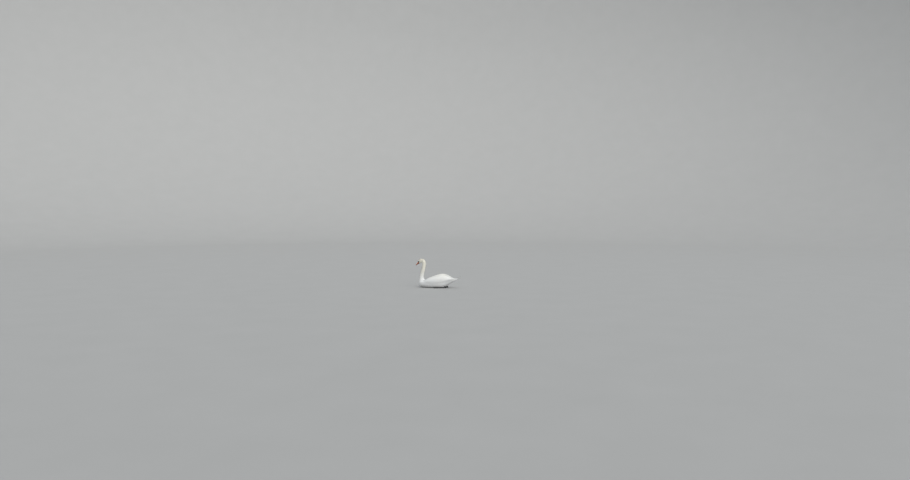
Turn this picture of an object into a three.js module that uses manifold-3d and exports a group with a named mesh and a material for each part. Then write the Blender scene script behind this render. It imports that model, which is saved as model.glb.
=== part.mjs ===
// A mute swan at life size, resting on its belly as it floats: neck raised, bill tilted down, wings
// folded and a little arched, tail cocked, feet tucked under the flanks.
// Millimetres. +Z is up, the bird faces -Y and its left side is +X. The origin is on the floor, at the
// middle of the bird's length and width. Every shape below is laid out along "y", the distance behind
// the breast, and the whole bird is moved to the origin at the end.
import * as THREE from "three";
import { mergeVertices } from "three/addons/utils/BufferGeometryUtils.js";
import Module from "manifold-3d";

const wasm = await Module();
wasm.setup();

// ---- Driving dimensions ------------------------------------------------------------------------
const BREAST_Y = -4; // foremost point of the breast
const BILL_TIP = { y: -72, z: 436 };
const TAIL_TIP_Y = 858;
const MIDDLE_Y = 393; // half way from bill tip to tail tip
const HEAD_TILT = THREE.MathUtils.degToRad(36); // bill line below the horizon
const BILL_LENGTH = 84; // tip to the feathers of the forehead
const SKULL_END = 182; // tip to the back of the head
const TRUNK_END_Y = 728;
const BELLY_DEPTH = 3; // how far the round belly is pressed flat where it rests
const EYE_RADIUS = 6.8;
const GAP = 0.3; // clearance between neighbouring pieces
const FEATHER_EDGE = 12; // thickness of the wing's free upper edge

// ---- Curves and solids -------------------------------------------------------------------------

// A smooth function through [at, value] pairs that never swings past them.
function through(pairs) {
  const at = pairs.map((p) => p[0]);
  const value = pairs.map((p) => p[1]);
  const rise = at.slice(1).map((a, i) => (value[i + 1] - value[i]) / (a - at[i]));
  const slope = at.map((_, i) => {
    if (i === 0) return rise[0];
    if (i === rise.length) return rise[i - 1];
    const product = rise[i - 1] * rise[i];
    return product <= 0 ? 0 : (2 * product) / (rise[i - 1] + rise[i]);
  });
  return (t) => {
    const x = THREE.MathUtils.clamp(t, at[0], at[at.length - 1]);
    const i = Math.min(at.findLastIndex((a) => a <= x), rise.length - 1);
    const span = at[i + 1] - at[i];
    const u = (x - at[i]) / span;
    const start = value[i] * (1 + 2 * u) * (1 - u) ** 2 + span * slope[i] * u * (1 - u) ** 2;
    return start + value[i + 1] * u * u * (3 - 2 * u) + span * slope[i + 1] * u * u * (u - 1);
  };
}

// Every curve of a shape, read at t.
const sampled = (shape, t) =>
  Object.fromEntries(Object.entries(shape).map(([name, curve]) => [name, curve(t)]));

// n + 1 numbers from a to b, closer together at both ends where round ends need them.
function eased(a, b, n) {
  const mix = 0.55;
  return Array.from({ length: n + 1 }, (_, i) => {
    const u = i / n;
    return a + (b - a) * (mix * u + ((1 - mix) * (1 - Math.cos(Math.PI * u))) / 2);
  });
}

// Powered cosine and sine, which make a superellipse.
const powered = (value, power) => Math.sign(value) * Math.abs(value) ** power;

// One closed ring of an egg-shaped section in its own plane: half width, top and bottom, widest at
// height `wide`.
function egg({ half, top, bottom, wide }, sides, squareness, grow = 0) {
  return Array.from({ length: sides }, (_, i) => {
    const angle = (2 * Math.PI * i) / sides;
    const up = powered(Math.sin(angle), 2 / squareness);
    const across = powered(Math.cos(angle), 2 / squareness) * (half + grow);
    const height = up > 0 ? wide + up * (top + grow - wide) : wide + up * (wide - bottom + grow);
    return [across, height];
  });
}

// A closed solid through rings of Vector3, each with the same number of points, with a flat fan at both ends.
function loft(rings) {
  const sides = rings[0].length;
  const points = rings.flat();
  const faces = [];
  for (let r = 0; r < rings.length - 1; r++)
    for (let s = 0; s < sides; s++) {
      const a = r * sides + s;
      const b = r * sides + ((s + 1) % sides);
      faces.push(a, b, b + sides, a, b + sides, a + sides);
    }
  const middle = (ring) => ring.reduce((sum, p) => sum.add(p), new THREE.Vector3()).divideScalar(sides);
  const last = (rings.length - 1) * sides;
  const first = points.push(middle(rings[0])) - 1;
  const end = points.push(middle(rings[rings.length - 1])) - 1;
  for (let s = 0; s < sides; s++) {
    const next = (s + 1) % sides;
    faces.push(first, next, s, end, last + s, last + next);
  }
  return solid(new THREE.BufferGeometry().setFromPoints(points).setIndex(faces));
}

// A geometry as a manifold-3d solid whose faces point out.
function solid(geometry) {
  const bare = geometry.index ? geometry.toNonIndexed() : geometry.clone();
  bare.deleteAttribute("normal");
  bare.deleteAttribute("uv");
  const merged = mergeVertices(bare, 1e-3);
  const faces = merged.index.array;
  const vertProperties = merged.attributes.position.array;
  const shell = (triVerts) => new wasm.Manifold(new wasm.Mesh({ numProp: 3, vertProperties, triVerts }));
  const made = shell(Uint32Array.from(faces));
  if (made.volume() > 0) return made;
  return shell(Uint32Array.from(faces).reverse());
}

// A box given by its size, then turned about X and moved, as a cutting tool.
function block(size, at, turn = 0, grow = 0) {
  const geometry = new THREE.BoxGeometry(size[0] + 2 * grow, size[1] + 2 * grow, size[2] + 2 * grow);
  return solid(geometry.rotateX(turn).translate(...at));
}

// The largest of a solid's separate bodies: a cut can leave a crumb.
const largest = (made) => made.decompose().sort((a, b) => b.volume() - a.volume())[0];

// ---- Trunk -------------------------------------------------------------------------------------
const trunkShape = {
  half: through([[BREAST_Y, 12], [0, 36], [8, 54], [25, 75], [60, 97], [110, 115], [170, 129],
    [250, 140], [340, 143], [430, 137], [520, 118], [600, 89], [670, 60], [TRUNK_END_Y, 38]]),
  top: through([[BREAST_Y, 103], [0, 116], [8, 126], [25, 137], [60, 146], [104, 151], [125, 156],
    [150, 167], [173, 178], [207, 194], [260, 214], [320, 233], [380, 250], [440, 260], [500, 258],
    [560, 240], [620, 211], [680, 179], [TRUNK_END_Y, 166]]),
  bottom: through([[BREAST_Y, 84], [0, 66], [8, 51], [25, 32], [60, 11], [110, 0],
    [160, -BELLY_DEPTH], [430, -BELLY_DEPTH], [475, 0], [520, 10], [560, 31], [600, 62], [640, 91],
    [690, 120], [TRUNK_END_Y, 140]]),
  wide: through([[BREAST_Y, 93], [100, 88], [200, 94], [300, 102], [400, 108], [500, 121],
    [600, 142], [700, 158]]),
  square: through([[BREAST_Y, 2], [120, 2.05], [260, 2.35], [520, 2.35], [TRUNK_END_Y, 2.1]]),
};

function trunk(grow = 0) {
  const rings = eased(BREAST_Y - grow, TRUNK_END_Y + grow, 24).map((y) => {
    const at = sampled(trunkShape, y);
    return egg(at, 26, at.square, grow).map(([x, z]) => new THREE.Vector3(x, y, Math.max(z, -grow)));
  });
  return loft(rings);
}

// ---- Neck --------------------------------------------------------------------------------------
// Centre of the neck as [y, z, radius, width over depth], from inside the breast to inside the skull.
const NECK_LINE = [
  [80, 78, 46, 1.2], [65, 106, 62, 1.28], [57, 132, 57, 1.2], [53, 158, 49.5, 1.06],
  [50, 194, 41, 0.96], [58, 253, 37.5, 0.93], [78, 331, 36.5, 0.92], [92, 390, 36, 0.91],
  [99, 430, 36.5, 0.9], [102, 464, 36.5, 0.87], [97, 495, 35, 0.87], [81, 520, 34, 0.85],
  [54, 529, 29, 0.84], [26, 516, 20, 0.84],
];

function neck(grow = 0) {
  const line = new THREE.CatmullRomCurve3(NECK_LINE.map(([y, z]) => new THREE.Vector3(0, y, z)));
  const share = NECK_LINE.map((_, i) => i / (NECK_LINE.length - 1));
  const radius = through(NECK_LINE.map((p, i) => [share[i], p[2]]));
  const ratio = through(NECK_LINE.map((p, i) => [share[i], p[3]]));
  const steps = 21;
  const sides = 18;
  const rings = Array.from({ length: steps + 1 }, (_, i) => {
    const t = i / steps;
    const centre = line.getPoint(t);
    const along = line.getTangent(t);
    const back = new THREE.Vector3(0, along.z, -along.y);
    return Array.from({ length: sides }, (_, s) => {
      const angle = (2 * Math.PI * s) / sides;
      const across = Math.cos(angle) * (radius(t) * ratio(t) + grow);
      return centre.clone().addScaledVector(back, Math.sin(angle) * (radius(t) + grow)).setX(across);
    });
  });
  return loft(rings);
}

// ---- Head and bill, laid out by distance back from the bill's tip and height above its line 
const headPoint = (x, back, up) =>
  new THREE.Vector3(
    x,
    BILL_TIP.y + back * Math.cos(HEAD_TILT) - up * Math.sin(HEAD_TILT),
    BILL_TIP.z + back * Math.sin(HEAD_TILT) + up * Math.cos(HEAD_TILT),
  );

const headShape = {
  half: through([[80, 15], [86, 18.5], [96, 22.5], [108, 26], [120, 28.5], [134, 30], [148, 29.5],
    [162, 27], [174, 20], [SKULL_END, 8]]),
  top: through([[80, 20], [86, 28], [92, 34], [100, 40], [110, 44.5], [122, 47], [134, 46.5],
    [148, 43], [162, 36], [174, 25], [SKULL_END, 12]]),
  bottom: through([[80, -15], [92, -20], [106, -25], [120, -28.5], [134, -30], [148, -29],
    [162, -24], [174, -14], [SKULL_END, -2]]),
  wide: () => 3,
};

function skull() {
  const rings = eased(BILL_LENGTH - 2, SKULL_END, 11).map((back) => {
    const at = sampled(headShape, back);
    return egg(at, 18, 2.1).map(([x, up]) => headPoint(x, back, up));
  });
  return loft(rings);
}

const billShape = {
  half: through([[0, 3], [3, 8.5], [8, 13.5], [16, 16.8], [28, 17.5], [45, 16.2], [60, 15.8],
    [84, 17]]),
  culmen: through([[0, -8], [2, -2.5], [6, 1.5], [14, 4.5], [30, 8], [45, 11.5], [60, 15.5],
    [72, 19], [84, 23]]),
  edge: through([[0, -10.5], [4, -9.5], [9, -7.2], [20, -6], [40, -6.5], [60, -8.5], [84, -12]]),
  keel: through([[6, -9], [14, -10.5], [30, -11.8], [50, -13.5], [84, -18]]),
};

// The upper half of the bill, or the lower one, as a dome over or under the cutting edge.
function mandible(from, to, height, thickness, share) {
  const steps = 11;
  const sides = 11;
  const rings = eased(from, to, steps).map((back) => {
    const edge = billShape.edge(back) - thickness;
    return Array.from({ length: sides }, (_, s) => {
      const angle = (Math.PI * s) / (sides - 1);
      const rise = Math.sin(angle) ** 0.75;
      const across = powered(Math.cos(angle), 0.8) * billShape.half(back) * share;
      return headPoint(across, back, edge + rise * (height(back) - edge));
    });
  });
  return loft(rings);
}

const billUpper = mandible(0, BILL_LENGTH - 2 - GAP, billShape.culmen, 0, 1);
const billLower = mandible(5, BILL_LENGTH - 2 - GAP, billShape.keel, GAP, 0.86);

// The berry at the root of the bill.
function ellipsoid(centre, radii, grow = 0) {
  const ball = new THREE.SphereGeometry(1, 12, 8).scale(...radii.map((r) => r + grow));
  return solid(ball.rotateX(HEAD_TILT).translate(...centre));
}
const KNOB = { back: 83, up: 20, radii: [9.5, 14, 12.5] };
const knobBall = (grow) => ellipsoid(headPoint(0, KNOB.back, KNOB.up).toArray(), KNOB.radii, grow);

const EYE = { x: 22.5, back: 113, up: 17 };
const eyeBall = (side, grow) =>
  ellipsoid(headPoint(side * EYE.x, EYE.back, EYE.up).toArray(), [EYE_RADIUS, EYE_RADIUS, EYE_RADIUS], grow);

// ---- Tail --------------------------------------------------------------------------------------
const tailShape = {
  half: through([[690, 36], [720, 43], [760, 47], [790, 44], [818, 35], [838, 24], [850, 14],
    [TAIL_TIP_Y, 6]]),
  middle: through([[690, 152], [724, 165], [765, 184], [805, 201], [TAIL_TIP_Y, 221]]),
  thick: through([[690, 14], [724, 13], [765, 9], [805, 6], [835, 4], [TAIL_TIP_Y, 1.5]]),
};
const TAIL_DROOP = 9; // how far the outer tail feathers hang below the middle ones

function tail(grow = 0) {
  const sides = 14;
  const rings = eased(690 - grow, TAIL_TIP_Y + grow, 9).map((y) => {
    const half = tailShape.half(y) + grow;
    return Array.from({ length: sides }, (_, s) => {
      const angle = (2 * Math.PI * s) / sides;
      const x = half * Math.cos(angle);
      const droop = TAIL_DROOP * Math.cos(angle) ** 2 * (half / 46);
      const rise = (tailShape.thick(y) + grow) * Math.sin(angle);
      return new THREE.Vector3(x, y, tailShape.middle(y) - droop + rise);
    });
  });
  return loft(rings);
}

// ---- Wings -------------------------------------------------------------------------------------
// Sections across the folded wing: its upper edge, the widest point of its side, and its lower edge in
// the flank.
const WING_FRONT_Y = 100;
const WING_END_Y = 762;
const wingShape = {
  topX: through([[100, 80], [146, 80], [207, 74], [265, 66], [323, 57], [381, 49], [439, 42],
    [497, 37], [555, 33], [613, 29], [672, 23], [729, 16], [WING_END_Y, 11]]),
  topZ: through([[100, 116], [120, 134], [146, 152], [207, 189], [265, 215], [323, 237], [381, 256],
    [439, 270], [475, 272], [505, 269], [555, 257], [613, 235], [672, 203], [729, 188],
    [WING_END_Y, 188]]),
  wideX: through([[100, 88], [120, 108], [160, 127], [207, 141], [265, 151], [340, 156], [410, 154],
    [480, 146], [550, 129], [613, 106], [672, 77], [729, 44], [WING_END_Y, 22]]),
  wideZ: through([[100, 100], [160, 116], [265, 132], [381, 148], [497, 163], [613, 175], [700, 180],
    [WING_END_Y, 186]]),
  lowX: through([[100, 70], [160, 100], [265, 120], [381, 122], [497, 104], [560, 84], [613, 62],
    [672, 40], [729, 24], [WING_END_Y, 12]]),
  lowZ: through([[100, 84], [160, 80], [265, 76], [381, 80], [497, 98], [560, 114], [613, 132],
    [672, 152], [729, 170], [WING_END_Y, 181]]),
  axisZ: through([[100, 90], [400, 100], [600, 130], [700, 160], [WING_END_Y, 180]]),
  depth: through([[100, 34], [600, 34], [672, 26], [729, 12], [WING_END_Y, 6]]),
};

// Left wing: a curved shell whose outside follows the sections and whose inside sinks into the trunk.
function wing() {
  const half = 5;
  const rings = eased(WING_FRONT_Y, WING_END_Y, 20).map((y) => {
    const at = sampled(wingShape, y);
    const outside = [];
    for (let i = half; i > 0; i--) {
      const angle = (Math.PI / 2) * (i / half);
      const x = at.lowX + (at.wideX - at.lowX) * Math.cos(angle);
      outside.push([x, at.wideZ - (at.wideZ - at.lowZ) * Math.sin(angle)]);
    }
    for (let i = 0; i <= half; i++) {
      const angle = (Math.PI / 2) * (i / half);
      const x = at.topX + (at.wideX - at.topX) * powered(Math.cos(angle), 1.05);
      outside.push([x, at.wideZ + (at.topZ - at.wideZ) * powered(Math.sin(angle), 1.05)]);
    }
    const inside = outside.map(([x, z], i) => {
      const reach = Math.hypot(x, z - at.axisZ);
      const edge = THREE.MathUtils.smoothstep(i / (outside.length - 1), 0.5, 1);
      const depth = THREE.MathUtils.lerp(at.depth, Math.min(FEATHER_EDGE, at.depth), edge);
      const keep = Math.max(1 - depth / reach, 0.3);
      return [x * keep, at.axisZ + (z - at.axisZ) * keep];
    });
    return [...outside, ...inside.reverse()].map(([x, z]) => new THREE.Vector3(Math.max(x, 1), y, z));
  });
  return loft(rings);
}

// ---- Legs and feet, tucked under the flanks ----------------------------------------------------
const ANKLE = new THREE.Vector3(68, 566, 14);
const KNEE_END = new THREE.Vector3(60, 528, 50); // the shin runs up into the flank
const TOE_ROOT = new THREE.Vector3(86, 472, 11);
const TOES = [
  { name: "inner", length: 112, turn: 12, radius: 5.6 },
  { name: "middle", length: 142, turn: -6, radius: 6.2 },
  { name: "outer", length: 134, turn: -24, radius: 5.6 },
];
const CLAW_LENGTH = 11;
const WEB_THICKNESS = 3;
const HALLUX = { length: 26, radius: 3.6, turn: 62 };

// A limb of round section along points, each with its radius, pressed flat where it meets the floor.
function limb(points, radii, sides, grow = 0) {
  const line = new THREE.CatmullRomCurve3(points);
  const radius = through(radii.map((r, i) => [i / (radii.length - 1), r]));
  const steps = (points.length - 1) * 2;
  const rings = Array.from({ length: steps + 1 }, (_, i) => {
    const t = i / steps;
    const along = line.getTangent(t);
    const side = new THREE.Vector3(0, 0, 1).cross(along).normalize();
    const up = along.clone().cross(side);
    return Array.from({ length: sides }, (_, s) => {
      const angle = (2 * Math.PI * s) / sides;
      const point = line.getPoint(t).addScaledVector(side, Math.cos(angle) * (radius(t) + grow));
      point.addScaledVector(up, Math.sin(angle) * (radius(t) + grow));
      return point.setZ(Math.max(point.z, -grow));
    });
  });
  return loft(rings);
}

// Points along a toe: the left foot's toes lead forward (-Y) and turn outwards with a negative angle.
function toePoint(turn, distance, height) {
  const angle = THREE.MathUtils.degToRad(turn);
  const [across, ahead] = [Math.sin(angle) * distance, Math.cos(angle) * distance];
  return new THREE.Vector3(TOE_ROOT.x - across, TOE_ROOT.y - ahead, height);
}

function foot(grow = 0) {
  const pieces = TOES.map(({ length, turn, radius }) => {
    const reach = [0, 0.35, 0.7, 1].map((share) =>
      toePoint(turn, share * length, radius * (1.5 - 0.6 * share)),
    );
    return limb(reach, [radius * 1.5, radius * 1.15, radius, radius * 0.7], 8, grow);
  });
  TOES.forEach(({ length, turn, radius }) => {
    const claw = [[-3, radius], [0.5 * CLAW_LENGTH, 4], [CLAW_LENGTH, 2]].map(([ahead, height]) =>
      toePoint(turn, length + ahead, height),
    );
    pieces.push(limb(claw, [radius * 0.65, 2.6, 1], 5, grow));
  });
  const [inner, middle, outer] = TOES;
  const outline = new THREE.Shape();
  const flat = (turn, distance) => toePoint(turn, distance, 0);
  const start = flat(0, -4);
  outline.moveTo(start.x, start.y);
  const corner = flat(inner.turn, inner.length - 4);
  outline.lineTo(corner.x, corner.y);
  [[inner, middle], [middle, outer]].forEach(([a, b]) => {
    const dip = flat((a.turn + b.turn) / 2, (a.length + b.length) * 0.5 - 22);
    const next = flat(b.turn, b.length - 4);
    outline.quadraticCurveTo(dip.x, dip.y, next.x, next.y);
  });
  outline.closePath();
  const settings = { depth: WEB_THICKNESS + grow, bevelEnabled: false, curveSegments: 4 };
  const web = new THREE.ExtrudeGeometry(outline, settings);
  pieces.push(solid(web.translate(0, 0, grow ? -grow : 0)));
  const back = THREE.MathUtils.degToRad(HALLUX.turn);
  const spur = [0, 0.5, 1].map(
    (share) =>
      new THREE.Vector3(
        TOE_ROOT.x - 4 - Math.sin(back) * share * HALLUX.length,
        TOE_ROOT.y + 10 - Math.cos(back) * share * HALLUX.length * 0.3,
        11 - 6 * share,
      ),
  );
  pieces.push(limb(spur, [HALLUX.radius * 1.2, HALLUX.radius, HALLUX.radius * 0.5], 5, grow));
  return pieces.reduce((sum, piece) => sum.add(piece));
}

function shank(grow = 0) {
  const heel = ANKLE.clone().setZ(13);
  const tarsus = limb([TOE_ROOT, TOE_ROOT.clone().lerp(ANKLE, 0.5).setZ(11), heel], [9.5, 8, 11.5], 8, grow);
  return tarsus.add(limb([heel, ANKLE.clone().lerp(KNEE_END, 0.5), KNEE_END], [11.5, 11, 15], 8, grow));
}

// ---- Parting the bird into its named pieces ----------------------------------------------------
const onSide = (sign, made) => (sign > 0 ? made : made.mirror([1, 0, 0]));
const footCut = (grow) => block([200, 300, 60], [TOE_ROOT.x, TOE_ROOT.y - 152, 20], 0, grow);
const leftLeg = shank().subtract(footCut(GAP));
const leftFoot = foot().add(shank()).intersect(footCut(0));
const legRoom = shank(GAP).add(foot(GAP));

const flesh = trunk().add(neck()).add(skull()).add(tail());
const fleshRoom = trunk(GAP).add(neck(GAP)).add(tail(GAP));

// Cutting blocks: each part is what lies in its block, and the rest keeps a gap to it. A block stands
// on a seam that passes through y and z and climbs backwards by `climb`.
function above({ y, z, climb }, long, high, grow) {
  const centre = [0, y - (high / 2) * Math.sin(climb), z + (high / 2) * Math.cos(climb)];
  return block([300, long, high], centre, climb, grow);
}
const HEAD_SEAM = { y: 52, z: 478, climb: THREE.MathUtils.degToRad(24) };
const MID_NECK_SEAM = { y: 0, z: 292, climb: 0 };
const NECK_SEAM = { y: 55, z: 150, climb: THREE.MathUtils.degToRad(17) };
const NECK_CLEAR = { y: -94, z: 205, climb: 0 }; // above this the neck stands clear of the back
const skullCut = (grow) => above(HEAD_SEAM, 300, 300, grow);
const neckCut = (grow) => above(NECK_SEAM, 290, 200, grow).add(above(NECK_CLEAR, 600, 800, grow));
const upperNeckCut = (grow) => above(MID_NECK_SEAM, 900, 600, grow);
const tailCut = (grow) => block([300, 400, 400], [0, 700 + 200, 150], 0, grow);

const neckAndHead = largest(flesh.intersect(neckCut(0)));
const rest = largest(flesh.subtract(neckCut(GAP)));
const necks = largest(neckAndHead.subtract(skullCut(GAP)));
const wholeHead = largest(neckAndHead.intersect(skullCut(0)));
const eyesAndKnob = eyeBall(1, GAP).add(eyeBall(-1, GAP)).add(knobBall(GAP));
const trunkOnly = largest(rest.subtract(tailCut(GAP)).subtract(legRoom).subtract(onSide(-1, legRoom)));

const tipCut = (grow) => block([600, 300, 400], [0, 668 + 150, 200], THREE.MathUtils.degToRad(-24), grow);

// ---- Pieces, materials and the finished group --------------------------------------------------
const finish = (color, roughness) => new THREE.MeshStandardMaterial({ color, roughness, metalness: 0 });
const plumage = finish(0xf1f1ea, 0.75);
const neckPlumage = finish(0xece7d2, 0.75);
const billOrange = finish(0xd9622b, 0.4);
const bareBlack = finish(0x17171a, 0.5);
const eyeBrown = finish(0x1c110b, 0.08);

function geometryOf(made) {
  const mesh = made.getMesh();
  const positions = new THREE.BufferAttribute(new Float32Array(mesh.vertProperties), 3);
  const geometry = new THREE.BufferGeometry().setAttribute("position", positions);
  geometry.setIndex(new THREE.BufferAttribute(new Uint32Array(mesh.triVerts), 1));
  geometry.computeVertexNormals();
  return geometry;
}

const swan = new THREE.Group();
swan.position.y = -MIDDLE_Y;

function piece(name, made, material) {
  const mesh = new THREE.Mesh(geometryOf(made), material);
  mesh.name = name;
  swan.add(mesh);
}

piece("trunk", trunkOnly, plumage);
piece("tail", largest(rest.intersect(tailCut(0))), plumage);
piece("neck_lower", largest(necks.subtract(upperNeckCut(GAP))), neckPlumage);
piece("neck_upper", largest(necks.intersect(upperNeckCut(0))), neckPlumage);
piece("head", largest(wholeHead.subtract(eyesAndKnob)), neckPlumage);
piece("bill_upper", largest(billUpper.subtract(knobBall(GAP))), billOrange);
piece("bill_lower", billLower, bareBlack);
piece("bill_knob", knobBall(0), bareBlack);
for (const [side, sign] of [["left", 1], ["right", -1]]) {
  const wholeWing = onSide(sign, wing()).subtract(fleshRoom);
  piece(`eye_${side}`, eyeBall(sign, 0), eyeBrown);
  piece(`wing_${side}`, largest(wholeWing.subtract(tipCut(GAP))), plumage);
  piece(`primaries_${side}`, largest(wholeWing.intersect(tipCut(0))), plumage);
  piece(`leg_${side}`, largest(onSide(sign, leftLeg)), bareBlack);
  piece(`foot_${side}`, largest(onSide(sign, leftFoot)), bareBlack);
}

export default swan;
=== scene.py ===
"""A mute swan resting on its belly: one skin, a coat of feather vanes, bill, knob, eyes, legs and feet.

Tables are in millimetres. Their y is the distance behind the breast and z the height above the floor; place()
takes them to the frame, in metres. The bird faces -Y and its left side is +X.
"""

import math

import bpy
import numpy as np
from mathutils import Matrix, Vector
from mathutils.bvhtree import BVHTree
from mathutils.kdtree import KDTree


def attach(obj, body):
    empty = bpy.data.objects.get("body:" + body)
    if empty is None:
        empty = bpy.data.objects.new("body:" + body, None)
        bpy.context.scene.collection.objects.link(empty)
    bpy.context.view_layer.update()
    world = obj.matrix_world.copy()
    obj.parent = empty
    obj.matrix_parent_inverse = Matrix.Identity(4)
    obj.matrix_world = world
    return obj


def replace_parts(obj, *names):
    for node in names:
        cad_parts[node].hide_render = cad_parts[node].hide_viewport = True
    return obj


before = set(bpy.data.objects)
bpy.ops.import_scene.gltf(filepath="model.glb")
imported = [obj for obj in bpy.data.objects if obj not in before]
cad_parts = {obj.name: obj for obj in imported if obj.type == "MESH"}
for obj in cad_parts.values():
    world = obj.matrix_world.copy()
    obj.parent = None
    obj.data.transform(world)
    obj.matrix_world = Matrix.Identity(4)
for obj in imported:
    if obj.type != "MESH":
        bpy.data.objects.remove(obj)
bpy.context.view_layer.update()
rng = np.random.default_rng(41)

MM = 0.001
MIDDLE_Y = 393.0  # the frame's origin in the tables
SIDES = ((1, "left"), (-1, "right"))
FLESH = ("trunk", "tail", "neck_lower", "neck_upper", "head", "wing_left", "wing_right", "primaries_left",
         "primaries_right")

# Bill and head are laid out by distance back from the bill's tip and height above its line.
BILL_TIP = (-72.0, 436.0)
HEAD_TILT = math.radians(36)


# ---- Small helpers ----


def stacked(*axes):
    """Coordinates broadcast together, as the last axis of one array."""
    return np.stack(np.broadcast_arrays(*axes), -1)


def place(points):
    """Table millimetres to frame metres."""
    return (np.asarray(points, float) - (0, MIDDLE_Y, 0)) * MM


def table_xyz(points):
    """x, y and z in table millimetres, for frame points in metres."""
    return (points / MM + (0, MIDDLE_Y, 0)).T


def head_point(x, back, up):
    """Table millimetres of a point on the head."""
    y = BILL_TIP[0] + back * math.cos(HEAD_TILT) - up * math.sin(HEAD_TILT)
    z = BILL_TIP[1] + back * math.sin(HEAD_TILT) + up * math.cos(HEAD_TILT)
    return stacked(x, y, z)


def head_coordinates(points):
    """Across, back and up in millimetres, for frame points in metres."""
    x, y, z = table_xyz(points)
    dy, dz = y - BILL_TIP[0], z - BILL_TIP[1]
    back = dy * math.cos(HEAD_TILT) + dz * math.sin(HEAD_TILT)
    return x, back, dz * math.cos(HEAD_TILT) - dy * math.sin(HEAD_TILT)


def unit(v):
    return v / np.maximum(np.linalg.norm(v, axis=-1, keepdims=True), 1e-9)


def curve(table):
    """A piecewise linear function through (at, value) pairs."""
    at, value = np.array(table, float).T
    return lambda t: np.interp(t, at, value)


def smooth_step(t, low, high):
    u = np.clip((t - low) / (high - low), 0, 1)
    return u * u * (3 - 2 * u)


def circle(count):
    """Angles spread evenly over a full turn."""
    return np.linspace(0, 2 * math.pi, count, endpoint=False)


def catmull(points, each):
    """A smooth line through points, with `each` samples between neighbours."""
    p = np.asarray(points, float)
    p = np.vstack([2 * p[0] - p[1], p, 2 * p[-1] - p[-2]])
    t = np.linspace(0, 1, each, endpoint=False)[:, None]
    parts = []
    for a, b, c, d in zip(p, p[1:], p[2:], p[3:]):
        square, cube = 2 * a - 5 * b + 4 * c - d, 3 * b - a - 3 * c + d
        parts.append(0.5 * (2 * b + (c - a) * t + square * t**2 + cube * t**3))
    return np.vstack([*parts, p[-2:-1]])


def travelled(lines):
    """How far along its line each point lies, for one line or several."""
    steps = np.linalg.norm(np.diff(lines, axis=-2), axis=-1)
    return np.cumsum(np.insert(steps, 0, 0.0, axis=-1), axis=-1)


def add_object(name, data):
    thing = bpy.data.objects.new(name, data)
    bpy.context.scene.collection.objects.link(thing)
    return thing


def mesh_object(name, points, faces, material):
    """A smooth-shaded mesh object of an array of points and a list of faces."""
    mesh = bpy.data.meshes.new(name)
    mesh.from_pydata(points.tolist(), [], faces, shade_flat=False)
    mesh.materials.append(material)
    return add_object(name, mesh)


def make_object(name, points, faces, material):
    """A piece of the bird, which rides on its one body."""
    thing = mesh_object(name, points, faces, material)
    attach(thing, "root")
    return thing


def point_values(thing, name, values):
    """Gives each point of a mesh a value that its material reads."""
    values = np.asarray(values, np.float32)
    thing.data.attributes.new(name, "FLOAT", "POINT").data.foreach_set("value", values)


def grid_faces(rows, columns, closed=False):
    """Quads of a grid of points laid out row by row; a closed grid joins its last column to its first."""
    spans = columns if closed else columns - 1
    row, column = np.meshgrid(np.arange(rows - 1), np.arange(spans), indexing="ij")
    after = (column + 1) % columns
    a, b = row * columns + column, row * columns + after
    return np.stack([a, b, b + columns, a + columns], -1).reshape(-1, 4)


def tube(rings):
    """Points and faces of a closed grid of rings, with a middle point at each end."""
    rows, columns = rings.shape[:2]
    faces = grid_faces(rows, columns, closed=True).tolist()
    last = (rows - 1) * columns
    for i in range(columns):
        after = (i + 1) % columns
        faces.append([after, i, rows * columns])
        faces.append([last + i, last + after, rows * columns + 1])
    return np.vstack([rings.reshape(-1, 3), rings[0].mean(0), rings[-1].mean(0)]), faces


def globe(rows, columns):
    """Rings of a unit sphere, from its top down, with a small opening at each pole."""
    polar = np.linspace(0.04, math.pi - 0.04, rows)[:, None]
    turn = circle(columns)
    return stacked(np.sin(polar) * np.cos(turn), np.sin(polar) * np.sin(turn), np.cos(polar))


def merged(parts):
    """Several (points, faces) as one."""
    points, faces, start = [], [], 0
    for some, around in parts:
        points.append(some)
        faces += [[start + i for i in face] for face in around]
        start += len(some)
    return np.vstack(points), faces


# ---- Materials ----

FEATHER_MAP_MM = 100.0  # one unit of the Feather map


def colour(red, green, blue):
    return (red, green, blue, 1.0)


WHITE = colour(0.86, 0.865, 0.86)
SHADED_WHITE = colour(0.78, 0.80, 0.81)
CREAM = colour(0.84, 0.81, 0.69)
BUFF = colour(0.80, 0.71, 0.50)
# Painted shade: the grey that the vanes take on towards their roots.
ROOT_SHADE_GREY = colour(0.62, 0.62, 0.60)
DEEP_ORANGE, LIGHT_ORANGE = colour(0.60, 0.115, 0.025), colour(0.70, 0.175, 0.045)
BILL_BLACK = colour(0.012, 0.011, 0.012)
KNOB_BLACK = colour(0.010, 0.010, 0.011)
FOOT_BLACK = colour(0.018, 0.018, 0.020)
PUPIL_BLACK = colour(0.002, 0.002, 0.002)
DARK_IRIS, LIGHT_IRIS = colour(0.022, 0.010, 0.005), colour(0.05, 0.024, 0.012)
FLOOR_GREY, LIGHT_FLOOR_GREY = colour(0.405, 0.405, 0.40), colour(0.43, 0.43, 0.425)


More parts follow.
